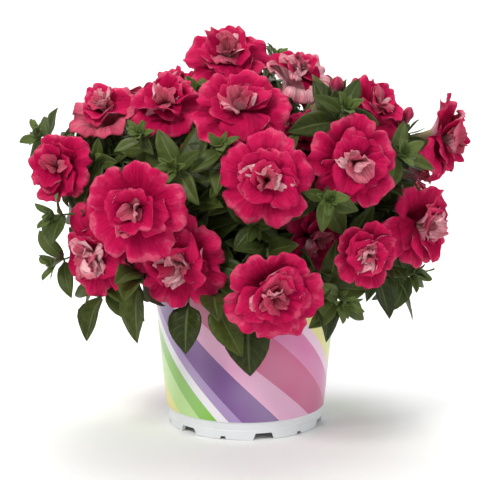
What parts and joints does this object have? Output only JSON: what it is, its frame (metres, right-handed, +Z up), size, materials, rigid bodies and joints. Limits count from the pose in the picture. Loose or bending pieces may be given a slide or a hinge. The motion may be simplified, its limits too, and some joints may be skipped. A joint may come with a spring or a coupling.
{
  "type": "potted petunia",
  "caption": "Double petunia in bloom: a dome of ruffled crimson-pink flowers and pointed green leaves over a tapered white nursery pot with a coloured print.",
  "frame": {"origin": "on the pot's axis, in the plane of the surface that its foot ring stands on", "axes": "+Z up along the pot's axis, -Y towards the front of the picture, +X to the right of the picture"},
  "size_m": [0.2927, 0.2545, 0.2662],
  "materials": {
    "pot_plastic": "injection-moulded white polypropylene with a printed sleeve of coloured ribbons between foot and rim",
    "compost": "loose damp peat-like growing medium, matt and crumbly",
    "petals": "thin soft velvety petals with fine veins, crimson-pink with paler backs and centres",
    "buds": "rolled petals, deep pink to dusty red",
    "foliage": "soft matt green leaves and stems with short sticky hairs"
  },
  "bodies": {
    "root": {"pot": "pot_plastic", "compost": "compost", "bloom_low_right": "petals", "bloom_left_heart": "petals", "bloom_heart": "petals", "bloom_right_heart": "petals", "bloom_low_left": "petals", "bloom_left_low": "petals", "bloom_left_small": "petals", "bloom_right_low": "petals", "bloom_right_far": "petals", "bloom_low_right_small": "petals", "bloom_brow": "petals", "bloom_shoulder_left": "petals", "bloom_cap_left": "petals", "bloom_crown": "petals", "bloom_cap_right": "petals", "bloom_shoulder_right": "petals", "bloom_half_open": "petals", "bloom_tucked": "petals", "bloom_back_cap_left": "petals", "bloom_rear_left_low": "petals", "bloom_rear_left_high": "petals", "bloom_rear_low_left": "petals", "bloom_rear_high": "petals", "bloom_rear_low": "petals", "bloom_rear_low_right": "petals", "bloom_rear_right_high": "petals", "bloom_rear_right_far": "petals", "bud_1": "buds", "bud_2": "buds", "bud_3": "buds", "bud_4": "buds", "leafy_stem_front_low": "foliage", "leafy_stem_front_mid": "foliage", "leafy_stem_front_right": "foliage", "leafy_stem_left_front": "foliage", "leafy_stem_left_top": "foliage", "leafy_stem_right_mid": "foliage", "leafy_stem_right_low": "foliage", "leafy_stem_top": "foliage", "leafy_stem_back_left": "foliage", "leafy_stem_back": "foliage", "leafy_stem_back_right": "foliage"}
  },
  "joints": []
}
